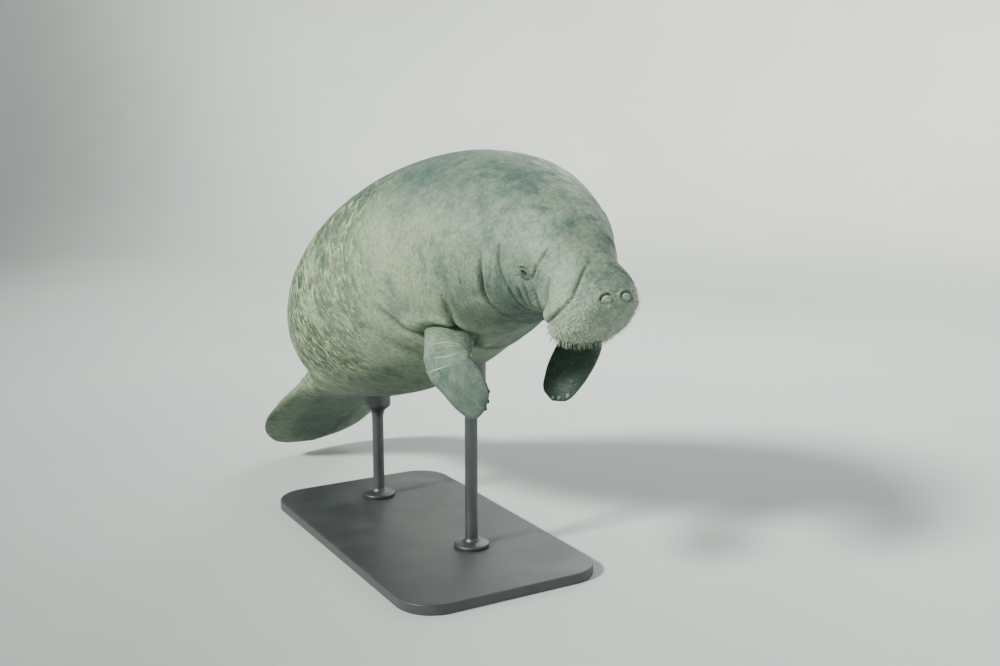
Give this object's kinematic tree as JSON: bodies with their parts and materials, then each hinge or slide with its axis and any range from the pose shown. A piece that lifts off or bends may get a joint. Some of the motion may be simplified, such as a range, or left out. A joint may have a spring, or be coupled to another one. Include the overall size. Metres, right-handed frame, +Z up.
{
  "type": "manatee model",
  "caption": "Life-size still model of a manatee swimming with its head bent down, flippers hanging and tail paddle low, held over a flat base by short rods.",
  "frame": {"origin": "middle of the underside of the stand's base, on the floor", "axes": "+Z up, +X towards the animal's head, so +Y is its left side"},
  "size_m": [2.3958, 0.8104, 1.4087],
  "materials": {
    "hide": "thick grey hide, finely wrinkled, matt, with algae on the back and flanks",
    "eye": "dark and wet",
    "nail": "dull horn",
    "stand": "satin dark grey paint"
  },
  "bodies": {
    "root": {"belly": "hide", "chest": "hide", "eye_left": "eye", "eye_right": "eye", "flipper_left": "hide", "flipper_right": "hide", "head": "hide", "lower_jaw": "hide", "muzzle": "hide", "nail_left_1": "nail", "nail_left_2": "nail", "nail_left_3": "nail", "nail_right_1": "nail", "nail_right_2": "nail", "nail_right_3": "nail", "neck": "hide", "stand_base": "stand", "stand_rod_front": "stand", "stand_rod_rear": "stand", "tail_paddle": "hide", "tail_stock": "hide"}
  },
  "joints": []
}
